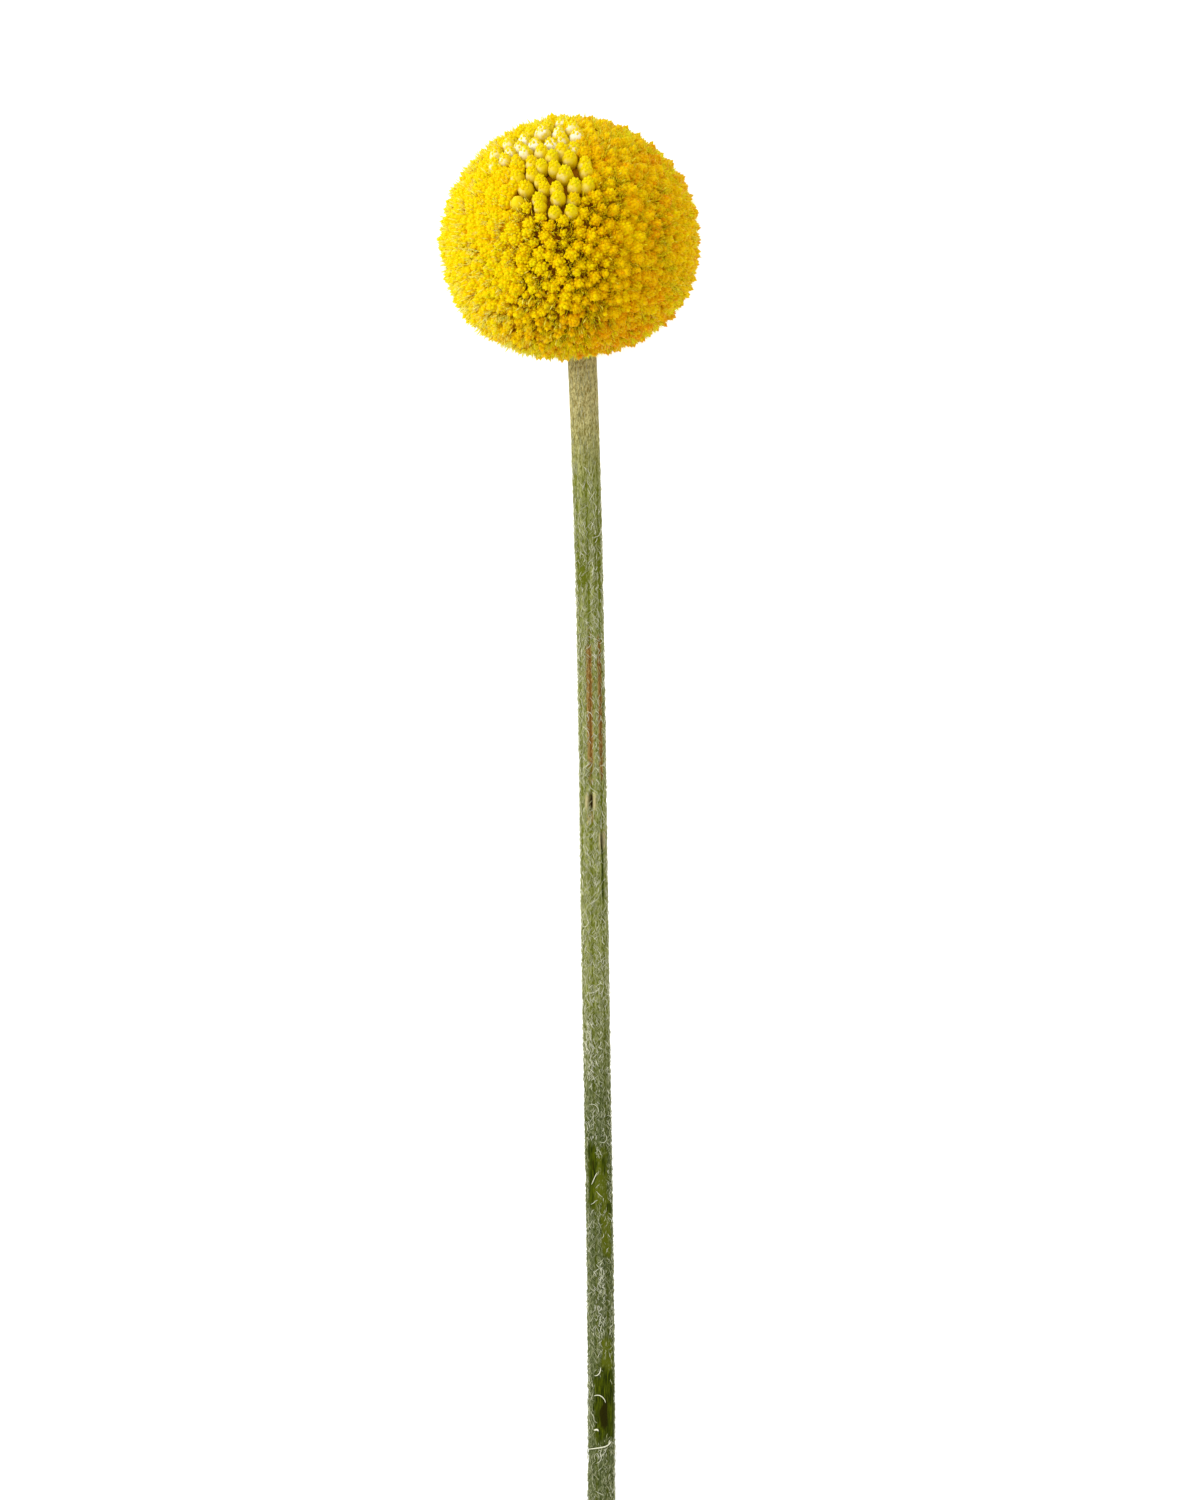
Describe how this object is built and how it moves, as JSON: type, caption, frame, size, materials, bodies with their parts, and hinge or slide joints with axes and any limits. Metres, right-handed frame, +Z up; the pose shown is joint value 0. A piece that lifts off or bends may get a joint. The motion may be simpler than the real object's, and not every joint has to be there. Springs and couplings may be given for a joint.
{
  "type": "billy buttons stem",
  "caption": "Cut stem of billy buttons lying on its side: a ball-shaped yellow flower head packed with small knobbed florets, on a bare ribbed woolly stem.",
  "frame": {"origin": "middle of the footprint, on the surface that the stem lies on", "axes": "+Y along the stem towards the crown of the flower head, +Z up from the surface, +X to the right when looking down on it with the head at the top"},
  "size_m": [0.0282, 0.1768, 0.0274],
  "materials": {
    "flower_head": "matte, densely knobbed golden yellow florets",
    "stem": "matte grey-green under white woolly hairs"
  },
  "bodies": {
    "root": {"flower_head": "flower_head", "stem": "stem"}
  },
  "joints": []
}
